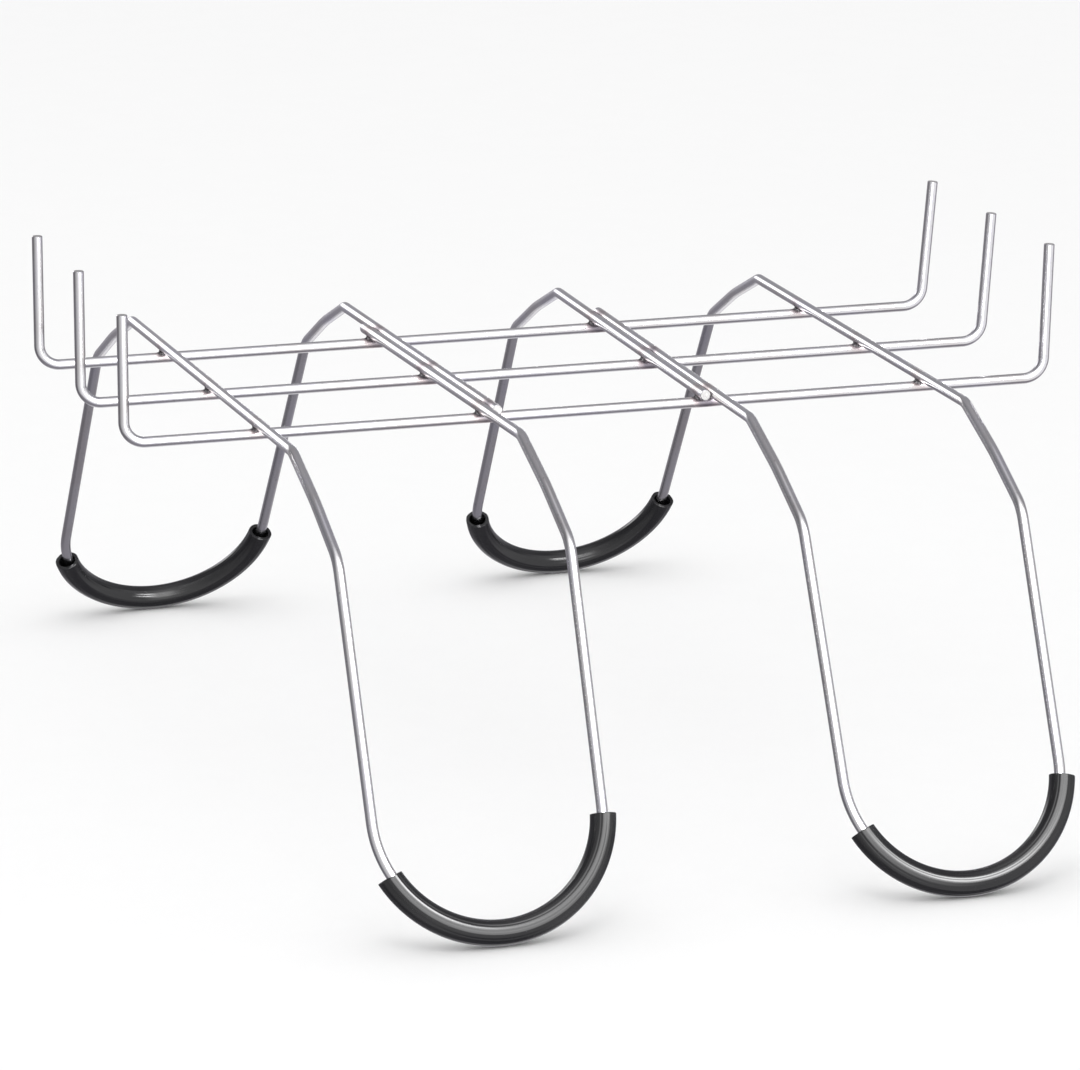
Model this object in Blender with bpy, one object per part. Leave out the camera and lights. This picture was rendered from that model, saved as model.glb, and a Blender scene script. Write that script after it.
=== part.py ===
"""Wire saddle rack: three welded rods with upturned ends lie under two bent wire hoops.

Each hoop is one wire. Its two ends lie side by side on the inner top leg, and its two
U-shaped feet wear loose plastic sleeves. +X runs along the rods, +Y to the back, +Z up,
and the lowest foot stands on z = 0. Lengths are metres and angles are degrees.
"""

import math

import bmesh
import bpy
from mathutils import Matrix, Vector

# Stock
WIRE = 0.006
GAP = 0.0003
PITCH = WIRE + GAP
TUBE_OUTER = 0.014
TUBE_BORE = 0.010

# Rods: name, row, sideways shift, left and right post height, right post lean
ROD_SPAN = 0.530
ROD_SPACING = 0.1025
ROD_BEND = 0.012
RODS = (
    ("back_rod", 1, 0.001, 0.075, 0.0735, 0.007),
    ("middle_rod", 0, 0.000, 0.075, 0.074, 0.006),
    ("front_rod", -1, -0.001, 0.071, 0.076, 0.003),
)

# Hoops: a level top, a sloping shoulder, a knee, a leg and a U-shaped foot at each end.
# Both are bent by hand to one pattern. outer is the outer leg's distance from x = 0, and
# front and rear are how far those feet drop. All four feet lie in one plane, so none rocks
HOOPS = (
    {"name": "left_hoop", "side": -1, "outer": 0.1916, "width": 0.1275, "front": 0.2230, "rear": 0.2208},
    {"name": "right_hoop", "side": 1, "outer": 0.1906, "width": 0.1245, "front": 0.2203, "rear": 0.2180},
)
TOP_DEPTH = 0.351
SEAM_OVERHANG = 0.012
SHOULDER_RUN = 0.0875
SHOULDER_DROP = 0.039
SHOULDER_BOW = 0.002
SHOULDER_BEND = 0.150
FRONT = {
    "name": "front", "side": -1, "lean": 25.5, "taper": 0.0031, "pinch": 0.0,
    "top_bend": 0.019, "knee_bend": 0.023,
}
REAR = {
    "name": "rear", "side": 1, "lean": 34.9, "taper": 0.0052, "pinch": 0.0007,
    "top_bend": 0.012, "knee_bend": 0.027,
}
ARC_STEP = 11.0

# Sleeves: name, hoop, end, length, how far the sleeve sits round the bend towards +X
SLEEVE_SLACK = 0.0013
SLEEVE_SIDES = 16
SLEEVE_STEPS = 18
SLEEVES = (
    ("front_left_sleeve", HOOPS[0], FRONT, 0.164, 11.2),
    ("front_right_sleeve", HOOPS[1], FRONT, 0.157, 9.9),
    ("rear_left_sleeve", HOOPS[0], REAR, 0.165, 6.1),
    ("rear_right_sleeve", HOOPS[1], REAR, 0.168, 2.5),
)

# Weld fillets: a ring of metal round the point where two wires cross
WELD_REACH = 0.0040
WELD_RISE = 0.00125
WELD_BEAD = 0.0009
WELD_POINTS = 20

STEEL = (0.62, 0.62, 0.64)
STEEL_SHADE = (0.55, 0.55, 0.58)
WELD_GREY = (0.32, 0.31, 0.33)
BLACK = (0.028, 0.028, 0.031)


def material(name, colour, metallic, roughness):
    mat = bpy.data.materials.new(name)
    mat.use_nodes = True
    bsdf = mat.node_tree.nodes["Principled BSDF"]
    bsdf.inputs["Base Color"].default_value = (*colour, 1.0)
    bsdf.inputs["Metallic"].default_value = metallic
    bsdf.inputs["Roughness"].default_value = roughness
    mat.diffuse_color = (*colour, 1.0)
    return mat


def foot(end, sizes):
    """One end of a hoop in the YZ plane: knee, leg direction, centre and radius of the U."""
    lean = math.radians(end["lean"])
    radius = (sizes["width"] - end["taper"]) / 2
    knee = Vector((0, end["side"] * (TOP_DEPTH / 2 + SHOULDER_RUN), -SHOULDER_DROP))
    down = Vector((0, end["side"] * math.sin(lean), -math.cos(lean)))
    reach = (sizes[end["name"]] - SHOULDER_DROP) / math.cos(lean) - radius - SLEEVE_SLACK
    return knee, down, knee + down * reach, radius


def frame_shift():
    """Moves the outline's centre to x = y = 0 and the lowest foot to z = 0."""
    left = min(shift - ROD_SPAN / 2 - WIRE / 2 for _, _, shift, _, _, _ in RODS)
    right = max(shift + ROD_SPAN / 2 + lean + WIRE / 2 for _, _, shift, _, _, lean in RODS)
    spread = 0
    for end in (FRONT, REAR):
        leg_drop = max(sizes[end["name"]] for sizes in HOOPS) - SHOULDER_DROP
        spread += end["side"] * leg_drop * math.tan(math.radians(end["lean"]))
    lowest = max(max(sizes["front"], sizes["rear"]) for sizes in HOOPS)
    return Vector((-(left + right) / 2, -spread / 2, lowest + TUBE_OUTER / 2))


def rounded(corners):
    """Turns (point, bend radius) corners into the points of a wire with round bends."""
    points = [corners[0][0]]
    for (before, _), (corner, radius), (after, _) in zip(corners, corners[1:], corners[2:]):
        into = (before - corner).normalized()
        out = (after - corner).normalized()
        turn = math.pi - into.angle(out)
        centre = corner + (into + out).normalized() * radius / math.cos(turn / 2)
        start = corner + into * radius * math.tan(turn / 2) - centre
        axis = (-into).cross(out).normalized()
        steps = max(2, math.ceil(math.degrees(turn) / ARC_STEP))
        points += [centre + Matrix.Rotation(turn * i / steps, 3, axis) @ start for i in range(steps + 1)]
    points.append(corners[-1][0])
    return [p for i, p in enumerate(points) if i == 0 or (p - points[i - 1]).length > 1e-5]


def wire(name, points, depth, mat, collection, closed=False):
    curve = bpy.data.curves.new(name, "CURVE")
    curve.dimensions = "3D"
    curve.bevel_depth = depth
    curve.bevel_resolution = 2
    curve.use_fill_caps = not closed
    spline = curve.splines.new("POLY")
    spline.points.add(len(points) - 1)
    for target, point in zip(spline.points, points):
        target.co = (*point, 1.0)
    spline.use_cyclic_u = closed
    curve.materials.append(mat)
    obj = bpy.data.objects.new(name, curve)
    collection.objects.link(obj)
    return obj


def rod(name, row, shift, left, right, lean, mat, collection):
    half = ROD_SPAN / 2
    corners = (
        (Vector((-half, 0, left)), 0),
        (Vector((-half, 0, 0)), ROD_BEND),
        (Vector((half, 0, 0)), ROD_BEND),
        (Vector((half + lean, 0, right)), 0),
    )
    obj = wire(name, rounded(corners), WIRE / 2, mat, collection)
    obj.location = frame_shift() + Vector((shift, row * ROD_SPACING, -PITCH))
    return obj


def end_corners(end, sizes, inset):
    """Corners of one leg from the top bend to the foot, at an inset from the outer leg."""
    knee, down, centre, radius = foot(end, sizes)
    top = Vector((0, end["side"] * TOP_DEPTH / 2, 0))
    bow = Vector((0, end["side"] * SHOULDER_DROP, SHOULDER_RUN)).normalized() * SHOULDER_BOW
    corners = (
        (top, end["top_bend"], inset),
        ((top + knee) / 2 + bow, SHOULDER_BEND, inset),
        (knee, end["knee_bend"], inset),
        (centre + down * radius, radius * 0.999, end["pinch"] + min(inset, 2 * radius)),
    )
    return [(point + Vector((across, 0, 0)), bend) for point, bend, across in corners]


def seam_inset(side, width, y):
    """The two ends drift apart by one wire pitch, so that they lie side by side."""
    return width + side * PITCH * abs(side * TOP_DEPTH / 2 - y) / TOP_DEPTH


def seam_point(side, width):
    """Free end of the wire that comes from the front (-1) or rear (1) top bend."""
    y = -side * (ROD_SPACING + SEAM_OVERHANG)
    return Vector((seam_inset(side, width, y), y, 0))


def hoop(sizes, mat, collection):
    width = sizes["width"]
    corners = [(seam_point(-1, width), 0)]
    corners += end_corners(FRONT, sizes, width)
    corners += reversed(end_corners(FRONT, sizes, 0))
    corners += end_corners(REAR, sizes, 0)
    corners += reversed(end_corners(REAR, sizes, width))
    corners.append((seam_point(1, width), 0))
    points = [Vector((sizes["side"] * (sizes["outer"] - p.x), p.y, p.z)) for p in rounded(corners)]
    obj = wire(sizes["name"], points, WIRE / 2, mat, collection)
    obj.location = frame_shift()
    return obj


def sleeve(name, sizes, end, length, turn, mat, collection):
    """A tube bent round the U's centre, which is the object's origin and its hinge."""
    _, _, centre, radius = foot(end, sizes)
    bend = radius + SLEEVE_SLACK
    arc = length / bend
    mesh = bmesh.new()
    ring = []
    for bore in (TUBE_OUTER / 2, TUBE_BORE / 2):
        circle = bmesh.ops.create_circle(mesh, segments=SLEEVE_SIDES, radius=bore)
        ring += list({edge for vert in circle["verts"] for edge in vert.link_edges})
    bmesh.ops.bridge_loops(mesh, edges=ring)
    place = Matrix.Translation((0, 0, -bend)) @ Matrix.Rotation(math.pi / 2, 4, "Y")
    bmesh.ops.transform(mesh, matrix=place, verts=mesh.verts)
    begin = Matrix.Rotation(arc / 2 - math.radians(turn), 4, "Y")
    bmesh.ops.transform(mesh, matrix=begin, verts=mesh.verts)
    bmesh.ops.spin(
        mesh, geom=mesh.verts[:] + mesh.edges[:] + mesh.faces[:], cent=(0, 0, 0),
        axis=(0, 1, 0), angle=-arc, steps=SLEEVE_STEPS, use_duplicate=False,
    )
    bmesh.ops.recalc_face_normals(mesh, faces=mesh.faces)
    data = bpy.data.meshes.new(name)
    mesh.to_mesh(data)
    mesh.free()
    data.materials.append(mat)
    obj = bpy.data.objects.new(name, data)
    collection.objects.link(obj)
    across = sizes["side"] * (sizes["outer"] - end["pinch"] - radius)
    obj.location = frame_shift() + Vector((across, centre.y, centre.z))
    obj.rotation_euler = (math.radians(end["side"] * end["lean"]), 0, 0)
    return obj


def weld(name, x, y, half_pair, mat, collection):
    """A ring of weld metal round one crossing, up beside the hoop and down beside the rod."""
    points = []
    for i in range(WELD_POINTS):
        angle = 2 * math.pi * (i + 0.5) / WELD_POINTS
        across = WELD_REACH * math.cos(angle) + math.copysign(half_pair, math.cos(angle))
        along = WELD_REACH * math.sin(angle)
        points.append(Vector((across, along, WELD_RISE * math.cos(2 * angle))))
    obj = wire(name, points, WELD_BEAD, mat, collection, closed=True)
    obj.location = frame_shift() + Vector((x, y, -PITCH / 2))
    return obj


def build():
    for obj in list(bpy.data.objects):
        bpy.data.objects.remove(obj, do_unlink=True)
    rack = bpy.data.collections.new("wire_saddle_rack")
    bpy.context.scene.collection.children.link(rack)

    for name, row, shift, left, right, lean in RODS:
        steel = material(name, STEEL, 1.0, 0.22)
        rod(name, row, shift, left, right, lean, steel, rack)

    hoops = {}
    for sizes in HOOPS:
        hoops[sizes["name"]] = hoop(sizes, material(sizes["name"], STEEL_SHADE, 1.0, 0.28), rack)

    for name, sizes, end, length, turn in SLEEVES:
        obj = sleeve(name, sizes, end, length, turn, material(name, BLACK, 0.0, 0.22), rack)
        obj.parent = hoops[sizes["name"]]
        obj.matrix_parent_inverse = Matrix.Translation(-obj.parent.location)

    for rod_name, row, *_ in RODS:
        y = row * ROD_SPACING
        for sizes in HOOPS:
            pair = (seam_inset(1, sizes["width"], y) + seam_inset(-1, sizes["width"], y)) / 2
            for leg, inset, half_pair in (("outer", 0, 0), ("inner", pair, PITCH / 2)):
                name = f"{sizes['name'].split('_')[0]}_{leg}_{rod_name.split('_')[0]}_weld"
                grey = material(name, WELD_GREY, 1.0, 0.5)
                weld(name, sizes["side"] * (sizes["outer"] - inset), y, half_pair, grey, rack)


build()
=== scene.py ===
"""The looks of the wire saddle rack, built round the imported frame.

Bright drawn wire cut flat at its ends, burnt welds where the wires cross, and glossy black
tube sleeves on the four feet. +X runs along the rods, +Y to the back and +Z up. Lengths are
metres and angles are degrees.
"""

import math
import random

import bpy
from mathutils import Matrix, Vector


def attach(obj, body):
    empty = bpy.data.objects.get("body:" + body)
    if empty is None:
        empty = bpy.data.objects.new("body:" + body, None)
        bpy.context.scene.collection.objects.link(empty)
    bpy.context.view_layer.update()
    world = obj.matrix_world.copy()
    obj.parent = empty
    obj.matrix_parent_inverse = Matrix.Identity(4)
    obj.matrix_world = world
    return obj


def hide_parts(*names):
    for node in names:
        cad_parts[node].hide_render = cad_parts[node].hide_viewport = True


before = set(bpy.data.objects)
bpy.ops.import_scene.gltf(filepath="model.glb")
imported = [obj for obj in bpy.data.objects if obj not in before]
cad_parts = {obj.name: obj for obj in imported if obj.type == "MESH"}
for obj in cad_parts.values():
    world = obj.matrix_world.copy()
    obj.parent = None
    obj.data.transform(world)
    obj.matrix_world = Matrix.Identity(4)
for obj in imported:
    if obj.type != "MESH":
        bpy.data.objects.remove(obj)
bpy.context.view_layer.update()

# Stock
WIRE_RADIUS = 0.003
PITCH = 0.0063
TUBE_RADIUS = 0.007
BORE_RADIUS = 0.005

# Rods: name, row, sideways shift, left and right post height, right post lean
ROD_SPAN = 0.530
ROD_SPACING = 0.1025
ROD_BEND = 0.012
RODS = (
    ("back_rod", 1, 0.001, 0.075, 0.0735, 0.007),
    ("middle_rod", 0, 0.000, 0.075, 0.074, 0.006),
    ("front_rod", -1, -0.001, 0.071, 0.076, 0.003),
)

# Hoops: outer is the outer leg's distance from x = 0; front and rear are how far the feet drop
HOOPS = (
    {"name": "left_hoop", "side": -1, "outer": 0.1916, "width": 0.1275, "front": 0.2230, "rear": 0.2208},
    {"name": "right_hoop", "side": 1, "outer": 0.1906, "width": 0.1245, "front": 0.2203, "rear": 0.2180},
)
TOP_DEPTH = 0.351
SEAM_OVERHANG = 0.012
SHOULDER_RUN = 0.0875
SHOULDER_DROP = 0.039
SHOULDER_BOW = 0.002
SHOULDER_BEND = 0.150
FRONT = {
    "name": "front", "side": -1, "lean": 25.5, "taper": 0.0031, "pinch": 0.0,
    "top_bend": 0.019, "knee_bend": 0.023,
}
REAR = {
    "name": "rear", "side": 1, "lean": 34.9, "taper": 0.0052, "pinch": 0.0007,
    "top_bend": 0.012, "knee_bend": 0.027,
}

# Sleeves: name, hoop, end, length, how far it sits round the bend towards +X, twist of the tube
SLEEVE_SLACK = 0.0013
SLEEVES = (
    ("front_left_sleeve", HOOPS[0], FRONT, 0.164, 11.2, 0.0),
    ("front_right_sleeve", HOOPS[1], FRONT, 0.157, 9.9, 9.0),
    ("rear_left_sleeve", HOOPS[0], REAR, 0.165, 6.1, -14.0),
    ("rear_right_sleeve", HOOPS[1], REAR, 0.168, 2.5, 21.0),
)

# How finely the surfaces are made, and the angle from which an edge stays sharp
ARC_STEP = 3.0
WIRE_STEP = 0.004
WIRE_SIDES = 32
TUBE_SIDES = 180
TUBE_STEPS = 72
SHARP_ANGLE = 35.0

# Cut ends. A sleeve's end is pushed out of square, over the last share of its half length
WIRE_CHAMFER = 0.00035
TUBE_CHAMFER = 0.00030
CUT_SLANT = 0.0005
CUT_ZONE = 0.06

# Lines that the die left along the tube: angle round it, half width, height (a groove is below 0)
DIE_LINES = (
    (4, 4.6, -0.000090),
    (18, 3.6, 0.000080),
    (40, 5.0, -0.000110),
    (55, 3.8, 0.000085),
    (78, 5.4, -0.000090),
    (104, 4.2, 0.000080),
    (126, 5.0, -0.000100),
    (141, 3.8, 0.000085),
    (166, 4.6, -0.000110),
    (182, 3.6, 0.000090),
    (207, 5.2, -0.000090),
    (229, 4.2, 0.000085),
    (251, 4.8, -0.000110),
    (266, 3.6, 0.000080),
    (291, 5.4, -0.000095),
    (316, 4.2, 0.000085),
    (337, 5.0, -0.000105),
)

# Welds: how far one reaches along a wire, the share of the wire's radius that its sides cover,
# half its waist, and the size of each wave in its edge
WELD_REACH = 0.0042
WELD_FLANK = 0.88
WELD_WAIST = 0.0023
WELD_SIDES = 64
WELD_STEPS = 10
WELD_SINK = 0.00004
WELD_RAGGED = 0.045
SCORCH_REACH = 0.0052

# The viewpoint
CAMERA_AZIMUTH = -17.11
CAMERA_ELEVATION = 13.72
CAMERA_ROLL = -0.25
CAMERA_DISTANCE = 4.12
CAMERA_TARGET = Vector((-0.0105, -0.0432, 0.1349))
CAMERA_LENS = 243.94


# ---------------------------------------------------------------- routes of the wires


def foot(end, sizes):
    """The knee, the way down the leg, and the U's centre and radius, from the top's height."""
    lean = math.radians(end["lean"])
    radius = (sizes["width"] - end["taper"]) / 2
    knee = Vector((0, end["side"] * (TOP_DEPTH / 2 + SHOULDER_RUN), -SHOULDER_DROP))
    down = Vector((0, end["side"] * math.sin(lean), -math.cos(lean)))
    reach = (sizes[end["name"]] - SHOULDER_DROP) / math.cos(lean) - radius - SLEEVE_SLACK
    return knee, down, knee + down * reach, radius


def rack_origin():
    """Where the middle of the rods' spacing lies, at the height of the hoops' top."""
    left = min(shift - ROD_SPAN / 2 - WIRE_RADIUS for _, _, shift, _, _, _ in RODS)
    right = max(shift + ROD_SPAN / 2 + lean + WIRE_RADIUS for _, _, shift, _, _, lean in RODS)
    spread = 0
    for end in (FRONT, REAR):
        leg_drop = max(sizes[end["name"]] for sizes in HOOPS) - SHOULDER_DROP
        spread += end["side"] * leg_drop * math.tan(math.radians(end["lean"]))
    lowest = max(max(sizes["front"], sizes["rear"]) for sizes in HOOPS)
    return Vector((-(left + right) / 2, -spread / 2, lowest + TUBE_RADIUS))


ORIGIN = rack_origin()


def rounded(corners):
    """A route through (corner, bend radius) pairs, with each corner bent to its radius."""
    points = [corners[0][0]]
    for (before, _), (corner, radius), (after, _) in zip(corners, corners[1:], corners[2:]):
        into = (before - corner).normalized()
        out = (after - corner).normalized()
        turn = math.pi - into.angle(out)
        centre = corner + (into + out).normalized() * radius / math.cos(turn / 2)
        start = corner + into * radius * math.tan(turn / 2) - centre
        axis = (-into).cross(out).normalized()
        steps = max(2, math.ceil(math.degrees(turn) / ARC_STEP))
        points += [centre + Matrix.Rotation(turn * i / steps, 3, axis) @ start for i in range(steps + 1)]
    points.append(corners[-1][0])
    return [p for i, p in enumerate(points) if i == 0 or (p - points[i - 1]).length > 1e-5]


def spaced(points, step):
    """The same route with no gap longer than step."""
    result = [points[0]]
    for before, after in zip(points, points[1:]):
        pieces = max(1, math.ceil((after - before).length / step))
        result += [before.lerp(after, (k + 1) / pieces) for k in range(pieces)]
    return result


def rod_route(row, shift, left, right, lean):
    half = ROD_SPAN / 2
    corners = (
        (Vector((-half, 0, left)), 0),
        (Vector((-half, 0, 0)), ROD_BEND),
        (Vector((half, 0, 0)), ROD_BEND),
        (Vector((half + lean, 0, right)), 0),
    )
    place = ORIGIN + Vector((shift, row * ROD_SPACING, -PITCH))
    return [p + place for p in rounded(corners)]


def end_corners(end, sizes, inset):
    """One side of a hoop's end, from the top to the U's bottom."""
    knee, down, centre, radius = foot(end, sizes)
    top = Vector((0, end["side"] * TOP_DEPTH / 2, 0))
    bow = Vector((0, end["side"] * SHOULDER_DROP, SHOULDER_RUN)).normalized() * SHOULDER_BOW
    corners = (
        (top, end["top_bend"], inset),
        ((top + knee) / 2 + bow, SHOULDER_BEND, inset),
        (knee, end["knee_bend"], inset),
        (centre + down * radius, radius * 0.999, end["pinch"] + min(inset, 2 * radius)),
    )
    return [(point + Vector((across, 0, 0)), bend) for point, bend, across in corners]


def seam_inset(side, width, y):
    """How far inside the outer leg the wire from the end on that side runs, at y on the top."""
    return width + side * PITCH * abs(side * TOP_DEPTH / 2 - y) / TOP_DEPTH


def seam_point(side, width):
    """Where the wire's free end lies on the inner top leg."""
    y = -side * (ROD_SPACING + SEAM_OVERHANG)
    return Vector((seam_inset(side, width, y), y, 0))


def hoop_route(sizes):
    width = sizes["width"]
    corners = [(seam_point(-1, width), 0)]
    corners += end_corners(FRONT, sizes, width)
    corners += reversed(end_corners(FRONT, sizes, 0))
    corners += end_corners(REAR, sizes, 0)
    corners += reversed(end_corners(REAR, sizes, width))
    corners.append((seam_point(1, width), 0))
    return [
        ORIGIN + Vector((sizes["side"] * (sizes["outer"] - p.x), p.y, p.z)) for p in rounded(corners)
    ]


def crossings():
    """Each weld's name, the middle of its crossing, and half the spacing of the wires on top."""
    found = []
    for rod_name, row, *_ in RODS:
        y = row * ROD_SPACING
        for sizes in HOOPS:
            pair = (seam_inset(1, sizes["width"], y) + seam_inset(-1, sizes["width"], y)) / 2
            for leg, inset, half_pair in (("outer", 0, 0), ("inner", pair, PITCH / 2)):
                name = f"{sizes['name'].split('_')[0]}_{leg}_{rod_name.split('_')[0]}_weld"
                middle = ORIGIN + Vector((sizes["side"] * (sizes["outer"] - inset), y, -PITCH / 2))
                found.append((name, middle, half_pair))
    return found


# ---------------------------------------------------------------- mesh code


def travel_frames(points):
    """At each point, the way the route goes and two directions across it that never twist."""
    last = len(points) - 1
    frames = []
    for i in range(len(points)):
        ahead = (points[min(i + 1, last)] - points[max(i - 1, 0)]).normalized()
        side = frames[-1][0].rotation_difference(ahead) @ frames[-1][1] if frames else ahead.orthogonal()
        side = (side - ahead * side.dot(ahead)).normalized()
        frames.append((ahead, side, ahead.cross(side)))
    return frames


def ring(centre, across, up, radii):
    """Points round a centre, one for each radius."""
    sides = len(radii)
    points = []
    for j, radius in enumerate(radii):
        angle = 2 * math.pi * j / sides
        points.append(centre + (across * math.cos(angle) + up * math.sin(angle)) * radius)
    return points


def unbent(radii, along):
    """The same ring on the wire or tube before it was bent, which its material reads."""
    return ring(Vector((0, 0, along)), Vector((1, 0, 0)), Vector((0, 1, 0)), radii)


def loft(name, rings, straight, tips=None, closed=False):
    """A closed mesh through rings of points. tips are its two end points, or closed joins the ends."""
    sides = len(rings[0])
    points = [p for loop in rings for p in loop]
    flat = [p for loop in straight for p in loop]
    faces = []
    for i in range(len(rings) if closed else len(rings) - 1):
        near = i * sides
        far = (i + 1) % len(rings) * sides
        for j in range(sides):
            k = (j + 1) % sides
            faces.append((near + j, near + k, far + k, far + j))
    if tips:
        first = len(points)
        start = (len(rings) - 1) * sides
        points += [tips[0], tips[1]]
        flat += [sum(straight[0], Vector()) / sides, sum(straight[-1], Vector()) / sides]
        for j in range(sides):
            k = (j + 1) % sides
            faces.append((first, k, j))
            faces.append((first + 1, start + j, start + k))
    mesh = bpy.data.meshes.new(name)
    mesh.from_pydata(points, [], faces)
    layer = mesh.attributes.new("unbent", "FLOAT_VECTOR", "POINT")
    layer.data.foreach_set("vector", [c for p in flat for c in p])
    mesh.shade_smooth()
    mesh.set_sharp_from_angle(angle=math.radians(SHARP_ANGLE))
    obj = bpy.data.objects.new(name, mesh)
    bpy.context.scene.collection.objects.link(obj)
    return obj


def scorch(obj, welds):
    """Marks how strongly each point of a wire was heated by the welds near it."""
    values = []
    for vertex in obj.data.vertices:
        near = min((vertex.co - middle).length - half_pair for _, middle, half_pair in welds)
        values.append(math.exp(-((max(near, 0) / SCORCH_REACH) ** 2)))
    layer = obj.data.attributes.new("scorch", "FLOAT", "POINT")
    layer.data.foreach_set("value", values)


def wire(node, route, materials, welds):
    """A round wire with eased, flat-cut ends that stands for a CAD node."""
    points = spaced(route, WIRE_STEP)
    ends = ((points[0], points[1]), (points[-1], points[-2]))
    eased = [end + (inner - end).normalized() * WIRE_CHAMFER for end, inner in ends]
    points = [points[0], eased[0], *points[1:-1], eased[1], points[-1]]
    radii = [WIRE_RADIUS] * len(points)
    radii[0] = radii[-1] = WIRE_RADIUS - WIRE_CHAMFER
    rings = []
    straight = []
    along = 0
    previous = points[0]
    for point, radius, (_, side, up) in zip(points, radii, travel_frames(points)):
        along += (point - previous).length
        previous = point
        rings.append(ring(point, side, up, [radius] * WIRE_SIDES))
        straight.append(unbent([radius] * WIRE_SIDES, along))
    obj = loft(node + "_wire", rings, straight, tips=(points[0], points[-1]))
    for mat in materials:
        obj.data.materials.append(mat)
    for face in obj.data.polygons:
        face.material_index = 1 if len(face.vertices) == 3 else 0
    scorch(obj, welds)
    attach(obj, "rack")
    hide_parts(node)


def tube_radius(angle):
    """The tube's outer radius at an angle round it, with the die's lines."""
    radius = TUBE_RADIUS
    for middle, half_width, height in DIE_LINES:
        away = (angle - middle + 180) % 360 - 180
        radius += height * math.exp(-((away / half_width) ** 2))
    return radius


def sleeve(node, sizes, end, length, turn, twist, mat, draw):
    """An open tube round a foot's bend, which stands for the CAD node and rides on its body."""
    _, down, centre, radius = foot(end, sizes)
    bend = radius + SLEEVE_SLACK
    half = length / 2
    across = sizes["side"] * (sizes["outer"] - end["pinch"] - radius)
    middle = ORIGIN + Vector((across, centre.y, centre.z))
    hinge = down.cross(Vector((1, 0, 0)))
    outer_radii = [tube_radius(360 * j / TUBE_SIDES + twist) for j in range(TUBE_SIDES)]
    eased_radii = [r - TUBE_CHAMFER for r in outer_radii]
    bore_radii = [BORE_RADIUS] * TUBE_SIDES
    bore_edge_radii = [BORE_RADIUS + TUBE_CHAMFER] * TUBE_SIDES
    slants = [draw.uniform(0, 2 * math.pi) for _ in range(2)]

    def station(along, radii):
        """One ring, along metres from the tube's middle, on the bent and on the straight tube."""
        angle = along / bend + math.radians(turn)
        out = Matrix.Rotation(angle, 3, hinge) @ down
        loop = ring(middle + out * bend, hinge, out, radii)
        flat = unbent(radii, along)
        ahead = hinge.cross(out)
        slant = slants[0] if along < 0 else slants[1]
        share = max(0, 1 - (1 - abs(along) / half) / CUT_ZONE) * math.copysign(1, along)
        for j in range(TUBE_SIDES):
            push = CUT_SLANT * share * (math.cos(2 * math.pi * j / TUBE_SIDES - slant) - 1)
            loop[j] = loop[j] + ahead * push
        return loop, flat

    places = [half * (2 * i / TUBE_STEPS - 1) for i in range(1, TUBE_STEPS)]
    inside = half - TUBE_CHAMFER
    stations = [station(-inside, outer_radii)]
    stations += [station(place, outer_radii) for place in places]
    stations += [station(inside, outer_radii), station(half, eased_radii)]
    stations += [station(half, bore_edge_radii), station(inside, bore_radii)]
    stations += [station(place, bore_radii) for place in reversed(places)]
    stations += [station(-inside, bore_radii), station(-half, bore_edge_radii)]
    stations.append(station(-half, eased_radii))
    rings, straight = zip(*stations)
    obj = loft(node + "_tube", rings, straight, closed=True)
    obj.data.materials.append(mat)
    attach(obj, node)
    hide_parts(node)


def flank_height(across):
    """How far a wire's surface is from its axis, up or down, at a distance across it."""
    return math.sqrt(max(WIRE_RADIUS**2 - across**2, (0.3 * WIRE_RADIUS) ** 2))


def weld(node, middle, half_pair, mat, draw):
    """A saddle of weld metal that flows from the rod below up on to the hoop's wire or wires."""
    waves = [(k, draw.uniform(-1, 1), draw.uniform(0, 2 * math.pi)) for k in (1, 2, 3, 5, 8)]
    rings = []
    for step in range(WELD_STEPS + 1):
        t = step / WELD_STEPS
        loop = []
        for j in range(WELD_SIDES):
            angle = 2 * math.pi * j / WELD_SIDES
            c = math.cos(angle)
            s = math.sin(angle)
            wave = sum(size * math.cos(k * angle + phase) for k, size, phase in waves)
            ragged = 1 + WELD_RAGGED * wave
            flank = WELD_FLANK * WIRE_RADIUS
            low = Vector(((half_pair + WELD_REACH * ragged) * c, flank * s, 0))
            low.z = -PITCH / 2 + flank_height(low.y) - WELD_SINK
            high = Vector(((half_pair + flank) * c, WELD_REACH * ragged * s, 0))
            high.z = PITCH / 2 - flank_height(max(abs(high.x) - half_pair, 0)) + WELD_SINK
            waist = Vector(((half_pair + WELD_WAIST * ragged) * c, WELD_WAIST * ragged * s, 0))
            loop.append(low * (1 - t) ** 2 + waist * 2 * t * (1 - t) + high * t**2 + middle)
        rings.append(loop)
    tips = [sum(loop, Vector()) / WELD_SIDES for loop in (rings[0], rings[-1])]
    obj = loft(node + "_bead", rings, [[p - middle for p in loop] for loop in rings], tips=tips)
    obj.data.materials.append(mat)
    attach(obj, "rack")
    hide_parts(node)


# ---------------------------------------------------------------- materials


def add(tree, kind, inputs=None, **settings):
    """A new node. Each input is a plain value, or an output socket that is linked to it."""
    node = tree.nodes.new("ShaderNode" + kind)
    for key, value in settings.items():
        setattr(node, key, value)
    for key, value in (inputs or {}).items():
        if isinstance(value, bpy.types.NodeSocket):
            tree.links.new(value, node.inputs[key])
        else:
            node.inputs[key].default_value = value
    return node


def new_material(name, colour, metallic):
    """A material with a Principled shader, and its tree. The plain colour is what a viewport shows."""
    mat = bpy.data.materials.new(name)
    mat.use_nodes = True
    mat.diffuse_color = (*colour, 1)
    tree = mat.node_tree
    shader = tree.nodes["Principled BSDF"]
    shader.inputs["Metallic"].default_value = metallic
    return mat, tree, shader


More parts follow.
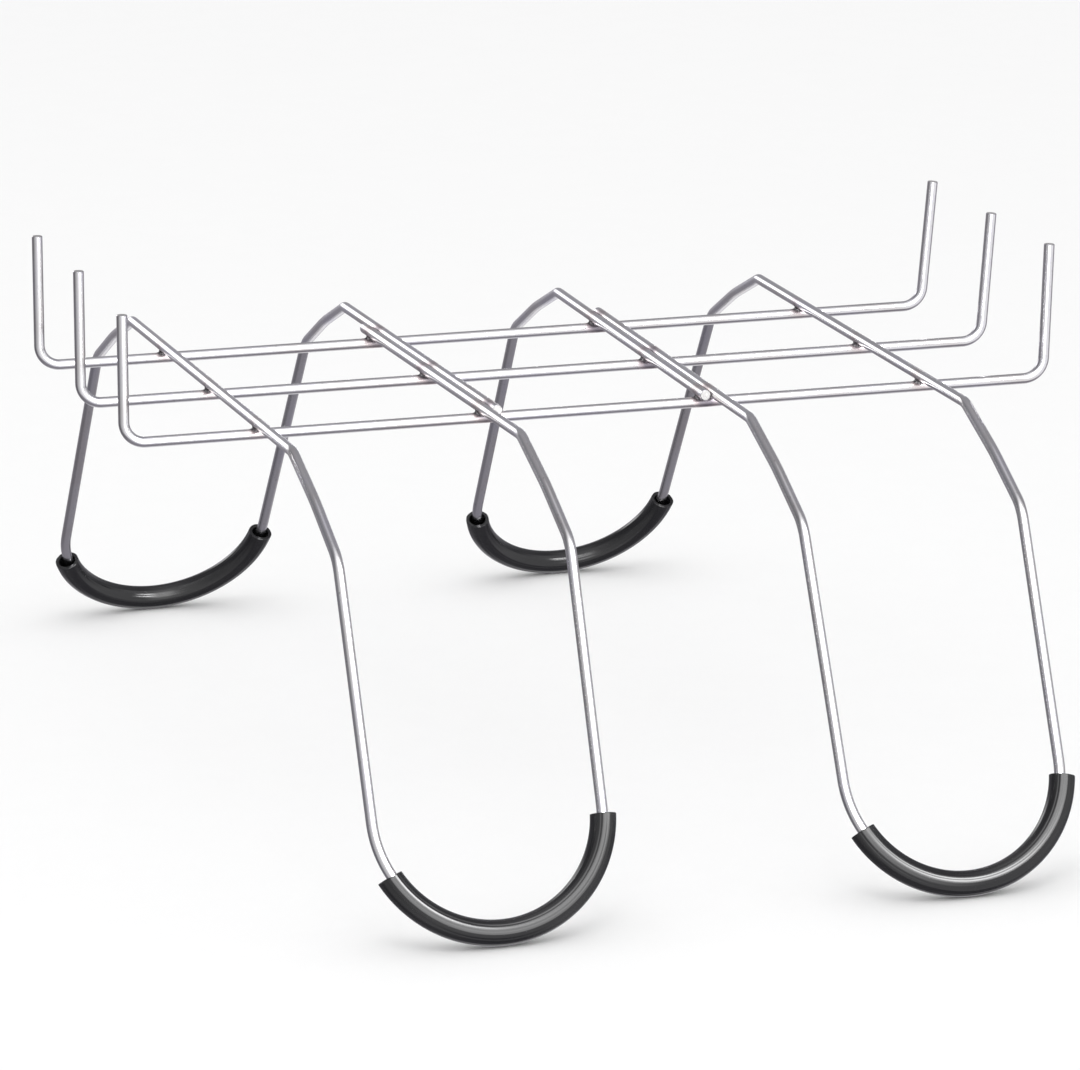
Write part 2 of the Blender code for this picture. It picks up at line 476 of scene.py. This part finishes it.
def noise(tree, stretch, scale, detail=2.0, roughness=0.5):
    """Noise on the unbent wire or tube. stretch is how much longer than wide its grain is."""
    place = add(tree, "Attribute", attribute_name="unbent").outputs["Vector"]
    grain = (scale, scale, scale / stretch)
    scaled = add(tree, "VectorMath", {0: place, 1: grain}, operation="MULTIPLY").outputs[0]
    inputs = {"Vector": scaled, "Scale": 1.0, "Detail": detail, "Roughness": roughness}
    return add(tree, "TexNoise", inputs).outputs["Fac"]


def ramp(tree, value, *stops):
    """A colour ramp of (position, colour) stops. A colour may be one grey number."""
    made = add(tree, "ValToRGB", {"Fac": value})
    elements = made.color_ramp.elements
    elements.remove(elements[1])
    for i, (position, colour) in enumerate(stops):
        element = elements.new(position) if i else elements[0]
        element.position = position
        element.color = (colour, colour, colour, 1) if isinstance(colour, float) else (*colour, 1)
    return made.outputs["Color"]


def spread(tree, value, low, high, start=0.3, end=0.7):
    """value from start to end, spread over low to high."""
    made = add(
        tree,
        "MapRange",
        {"Value": value, "From Min": start, "From Max": end, "To Min": low, "To Max": high},
    )
    return made.outputs["Result"]


def mix(tree, share, first, second, blend="MIX"):
    made = add(tree, "Mix", {0: share, 6: first, 7: second}, data_type="RGBA", blend_type=blend)
    return made.outputs[2]


def link(tree, shader, **outputs):
    for name, output in outputs.items():
        tree.links.new(output, shader.inputs[name.replace("_", " ")])


def bump(tree, height, distance, strength, normal=None):
    inputs = {"Height": height, "Distance": distance, "Strength": strength}
    if normal:
        inputs["Normal"] = normal
    return add(tree, "Bump", inputs).outputs["Normal"]


def bright_wire():
    """Drawn steel wire, brightly plated: faint die lines, cloudy plating, heat tint at the welds."""
    mat, tree, shader = new_material("bright_wire", (0.70, 0.70, 0.72), 1.0)
    clouds = noise(tree, 3.0, 90.0, detail=3.0)
    lines = noise(tree, 60.0, 2600.0, detail=2.0)
    specks = noise(tree, 1.5, 900.0, detail=1.0)
    heat = add(tree, "Attribute", attribute_name="scorch").outputs["Fac"]
    plating = ramp(
        tree,
        clouds,
        (0.30, (0.69, 0.665, 0.66)),
        (0.50, (0.745, 0.74, 0.755)),
        (0.70, (0.70, 0.69, 0.745)),
    )
    marks = ramp(tree, specks, (0.24, 0.55), (0.31, 1.0))
    plated = mix(tree, 0.5, plating, marks, "MULTIPLY")
    uneven = spread(tree, clouds, 0.75, 1.25)
    edge = add(tree, "Math", {0: heat, 1: uneven}, operation="MULTIPLY").outputs[0]
    tint = ramp(
        tree,
        edge,
        (0.0, (1.0, 1.0, 1.0)),
        (0.35, (0.92, 0.86, 0.84)),
        (0.60, (0.70, 0.62, 0.62)),
        (0.90, (0.38, 0.35, 0.37)),
    )
    link(tree, shader, Base_Color=mix(tree, 1.0, plated, tint, "MULTIPLY"))
    polish = spread(tree, clouds, 0.14, 0.24)
    rough = add(tree, "Math", {0: heat, 1: 0.25, 2: polish}, operation="MULTIPLY_ADD").outputs[0]
    link(tree, shader, Roughness=rough)
    link(tree, shader, Normal=bump(tree, lines, 0.000012, 0.5, bump(tree, clouds, 0.00008, 0.35)))
    return mat


def cut_steel():
    """The bare face that a shear leaves on a wire: bright, rough and streaked one way, with painted
    shade darkening its rim.
    """
    mat, tree, shader = new_material("cut_steel", (0.74, 0.73, 0.71), 1.0)
    place = add(tree, "Attribute", attribute_name="unbent").outputs["Vector"]
    grain = (700.0, 4200.0, 10.0)
    streaked = add(tree, "VectorMath", {0: place, 1: grain}, operation="MULTIPLY").outputs[0]
    streaks = add(tree, "TexNoise", {"Vector": streaked, "Scale": 1.0, "Detail": 2.0}).outputs["Fac"]
    away = add(tree, "VectorMath", {0: place, 1: (1.0, 1.0, 0.0)}, operation="MULTIPLY").outputs[0]
    radius = add(tree, "VectorMath", {0: away}, operation="LENGTH").outputs["Value"]
    # Painted shade: the face's colour is darkened towards its rim, standing in for the shadow of the
    # shear's burr
    painted_rim_shade = spread(tree, radius, 1.0, 0.35, 0.86 * WIRE_RADIUS, 0.90 * WIRE_RADIUS)
    face = ramp(tree, streaks, (0.35, (0.36, 0.355, 0.35)), (0.65, (0.66, 0.65, 0.64)))
    link(tree, shader, Base_Color=mix(tree, 1.0, face, painted_rim_shade, "MULTIPLY"))
    link(tree, shader, Roughness=spread(tree, streaks, 0.38, 0.55))
    link(tree, shader, Normal=bump(tree, streaks, 0.00006, 0.6))
    return mat


def burnt_weld():
    """Weld metal left as it cooled: dark scale with lighter grey metal showing in places."""
    mat, tree, shader = new_material("burnt_weld", (0.20, 0.18, 0.185), 0.85)
    scale = noise(tree, 1.0, 900.0, detail=4.0, roughness=0.6)
    ripples = noise(tree, 1.0, 2200.0, detail=2.0)
    link(
        tree,
        shader,
        Base_Color=ramp(
            tree,
            scale,
            (0.36, (0.060, 0.056, 0.062)),
            (0.52, (0.160, 0.150, 0.158)),
            (0.68, (0.36, 0.34, 0.35)),
        ),
    )
    link(tree, shader, Roughness=spread(tree, scale, 0.62, 0.38))
    link(tree, shader, Normal=bump(tree, ripples, 0.00010, 0.6, bump(tree, scale, 0.00035, 0.8)))
    return mat


def black_tube():
    """Glossy black extruded tube: fine lines along it, dust and rubbed patches that dull it."""
    mat, tree, shader = new_material("black_tube", (0.030, 0.030, 0.033), 0.0)
    lines = noise(tree, 90.0, 1500.0, detail=3.0)
    rubbed = noise(tree, 5.0, 120.0, detail=4.0, roughness=0.6)
    dust = noise(tree, 1.0, 2600.0, detail=1.0)
    black = ramp(tree, rubbed, (0.35, (0.0075, 0.0075, 0.0090)), (0.70, (0.0150, 0.0150, 0.0160)))
    flecks = ramp(tree, dust, (0.70, 0.0), (0.78, 0.06))
    link(tree, shader, Base_Color=mix(tree, 1.0, black, flecks, "SCREEN"))
    link(tree, shader, Roughness=spread(tree, rubbed, 0.10, 0.22, 0.35, 0.75))
    link(tree, shader, Normal=bump(tree, lines, 0.00004, 0.5, bump(tree, rubbed, 0.00012, 0.3)))
    return mat


def pale_floor():
    """Matt pale studio floor with a barely visible tooth."""
    mat, tree, shader = new_material("pale_floor", (0.86, 0.86, 0.86), 0.0)
    place = add(tree, "TexCoord").outputs["Object"]
    tooth = add(tree, "TexNoise", {"Vector": place, "Scale": 40.0, "Detail": 3.0}).outputs["Fac"]
    link(tree, shader, Base_Color=ramp(tree, tooth, (0.3, 0.895), (0.7, 0.90)))
    shader.inputs["Roughness"].default_value = 0.9
    shader.inputs["Specular IOR Level"].default_value = 0.2
    return mat


# ---------------------------------------------------------------- studio

FLOOR_HALF = 30.0
FLOOR_GAP = 0.0001
SKY = 1.04
BACKDROP = 0.97

# What gloss reflects, by height (0 straight down, 0.5 the horizon, 1 straight up), in front and behind
FRONT_ROOM = (
    (0.00, (0.27, 0.26, 0.29)),
    (0.13, (0.30, 0.29, 0.32)),
    (0.20, (1.00, 0.99, 1.02)),
    (0.50, (1.05, 1.05, 1.06)),
    (1.00, (1.25, 1.25, 1.27)),
)
BACK_ROOM = (
    (0.00, (0.27, 0.26, 0.29)),
    (0.35, (0.28, 0.27, 0.30)),
    (0.50, (0.42, 0.41, 0.44)),
    (0.70, (0.32, 0.32, 0.34)),
    (0.94, (0.34, 0.33, 0.35)),
    (1.00, (0.90, 0.90, 0.92)),
)
LEFT_DIMMING = 0.56

# The lit floor behind the rack, which the rods' undersides see: the way to it, and its brightness
BOUNCE_WAY = (0.28, 0.62, -0.73)
BOUNCE = 0.62

# Light panels that only gloss sees: place, width, height, brightness in the middle. The first two
# stand near in front, so the front feet see them wide and high, and the rear feet narrow and low
PANELS = (
    ("front_panel", (0.02, -0.92, 0.62), 1.10, 2.10, 5.0),
    ("bright_panel", (0.62, -1.15, 1.05), 0.95, 0.90, 20.0),
    ("window_panel", (-0.76, 2.19, 0.77), 1.60, 1.30, 3.0),
)
KEY_PLACE = (-0.6, -1.4, 2.8)
KEY_SIZE = 1.2
KEY_WATTS = 9.0


def foot_bottom(end, sizes):
    """The lowest point of one sleeve, with a gap for the ridges of its tube."""
    centre = foot(end, sizes)[2]
    across = sizes["side"] * (sizes["outer"] - sizes["width"] / 2)
    down = sizes[end["name"]] + TUBE_RADIUS + FLOOR_GAP
    return ORIGIN + Vector((across, centre.y, -down))


def make_floor():
    """A wide floor through the bottoms of the feet, which lie in one plane."""
    left, right = HOOPS
    corner = foot_bottom(FRONT, left)
    sideways = foot_bottom(FRONT, right) - corner
    back = foot_bottom(REAR, left) - corner
    slope_x = sideways.z / sideways.x
    slope_y = back.z / back.y
    h = FLOOR_HALF
    corners = []
    for x, y in ((-h, -h), (h, -h), (h, h), (-h, h)):
        corners.append((x, y, corner.z + slope_x * (x - corner.x) + slope_y * (y - corner.y)))
    mesh = bpy.data.meshes.new("floor")
    mesh.from_pydata(corners, [], [(0, 1, 2, 3)])
    floor = bpy.data.objects.new("floor", mesh)
    floor.data.materials.append(pale_floor())
    floor.visible_glossy = False
    bpy.context.scene.collection.objects.link(floor)


def make_world():
    """An even white sky. Gloss sees a studio instead, bright in front and dim behind and below."""
    world = bpy.data.worlds.new("studio")
    world.use_nodes = True
    bpy.context.scene.world = world
    tree = world.node_tree
    direction = add(tree, "TexCoord").outputs["Generated"]
    way = add(tree, "SeparateXYZ", {"Vector": direction})
    height = spread(tree, way.outputs["Z"], 0.0, 1.0, -1.0, 1.0)
    behind = spread(tree, way.outputs["Y"], 0.0, 1.0, -0.35, 0.10)
    room = mix(tree, behind, ramp(tree, height, *FRONT_ROOM), ramp(tree, height, *BACK_ROOM))
    left = spread(tree, way.outputs["X"], LEFT_DIMMING, 1.0, -0.75, -0.35)
    room = mix(tree, 1.0, room, left, "MULTIPLY")
    near = add(tree, "VectorMath", {0: direction, 1: BOUNCE_WAY}, operation="DOT_PRODUCT")
    bounce = spread(tree, near.outputs["Value"], 0.0, BOUNCE, 0.87, 0.96)
    room = mix(tree, 1.0, room, bounce, "ADD")
    paths = add(tree, "LightPath")
    seen = mix(tree, paths.outputs["Is Glossy Ray"], (SKY, SKY, SKY, 1), room)
    seen = mix(tree, paths.outputs["Is Camera Ray"], seen, (BACKDROP, BACKDROP, BACKDROP, 1))
    tree.links.new(seen, tree.nodes["Background"].inputs["Color"])


def panel_light(brightness):
    """Light that is full in the middle of a panel and fades out towards its edges."""
    mat = bpy.data.materials.new("panel_light")
    mat.use_nodes = True
    tree = mat.node_tree
    tree.nodes.clear()
    place = add(tree, "SeparateXYZ", {"Vector": add(tree, "TexCoord").outputs["Object"]})
    shares = []
    for axis in ("X", "Y"):
        away = add(tree, "Math", {0: place.outputs[axis]}, operation="ABSOLUTE").outputs[0]
        inputs = {"Value": away, "From Min": 0.5, "From Max": 0.05, "To Min": 0.0, "To Max": 1.0}
        shares.append(add(tree, "MapRange", inputs, interpolation_type="SMOOTHSTEP").outputs["Result"])
    both = add(tree, "Math", {0: shares[0], 1: shares[1]}, operation="MULTIPLY").outputs[0]
    strength = add(tree, "Math", {0: both, 1: brightness}, operation="MULTIPLY").outputs[0]
    glow = add(tree, "Emission", {"Strength": strength}).outputs[0]
    clear = add(tree, "BsdfTransparent").outputs[0]
    light = add(tree, "AddShader", {0: glow, 1: clear}).outputs[0]
    add(tree, "OutputMaterial", {"Surface": light})
    return mat


def aim(obj, place):
    """Stands a light at a place, facing the rack and hidden from the camera."""
    obj.location = place
    obj.rotation_euler = (ORIGIN - place).to_track_quat("-Z", "Y").to_euler()
    obj.visible_camera = False
    bpy.context.scene.collection.objects.link(obj)


def make_lights():
    """Panels for the gloss, and one lamp for the rack's soft shadow on the floor."""
    for name, place, width, height, brightness in PANELS:
        mesh = bpy.data.meshes.new(name)
        corners = [(-0.5, -0.5, 0), (0.5, -0.5, 0), (0.5, 0.5, 0), (-0.5, 0.5, 0)]
        mesh.from_pydata(corners, [], [(0, 1, 2, 3)])
        mesh.materials.append(panel_light(brightness))
        panel = bpy.data.objects.new(name, mesh)
        panel.scale = (width, height, 1)
        aim(panel, Vector(place))
        panel.visible_diffuse = False
        panel.visible_shadow = False
    lamp = bpy.data.lights.new("shadow_lamp", "AREA")
    lamp.size = KEY_SIZE
    lamp.energy = KEY_WATTS
    key = bpy.data.objects.new("shadow_lamp", lamp)
    aim(key, Vector(KEY_PLACE))
    key.visible_glossy = False


def make_camera():
    data = bpy.data.cameras.new("camera")
    data.sensor_width = 36.0
    data.lens = CAMERA_LENS
    camera = bpy.data.objects.new("camera", data)
    camera.matrix_world = (
        Matrix.Translation(CAMERA_TARGET)
        @ Matrix.Rotation(math.radians(CAMERA_AZIMUTH), 4, "Z")
        @ Matrix.Rotation(math.radians(90 - CAMERA_ELEVATION), 4, "X")
        @ Matrix.Rotation(math.radians(CAMERA_ROLL), 4, "Z")
        @ Matrix.Translation((0, 0, CAMERA_DISTANCE))
    )
    bpy.context.scene.collection.objects.link(camera)
    bpy.context.scene.camera = camera


# ---------------------------------------------------------------- the rack


def build():
    draw = random.Random(7)
    welds = crossings()
    wire_looks = (bright_wire(), cut_steel())
    for node, *sizes in RODS:
        wire(node, rod_route(*sizes), wire_looks, welds)
    for sizes in HOOPS:
        wire(sizes["name"], hoop_route(sizes), wire_looks, welds)
    burnt = burnt_weld()
    for node, middle, half_pair in welds:
        weld(node, middle, half_pair, burnt, draw)
    black = black_tube()
    for node, sizes, end, length, turn, twist in SLEEVES:
        sleeve(node, sizes, end, length, turn, twist, black, draw)


build()
make_floor()
make_world()
make_lights()
make_camera()
bpy.context.scene.view_settings.view_transform = "Standard"
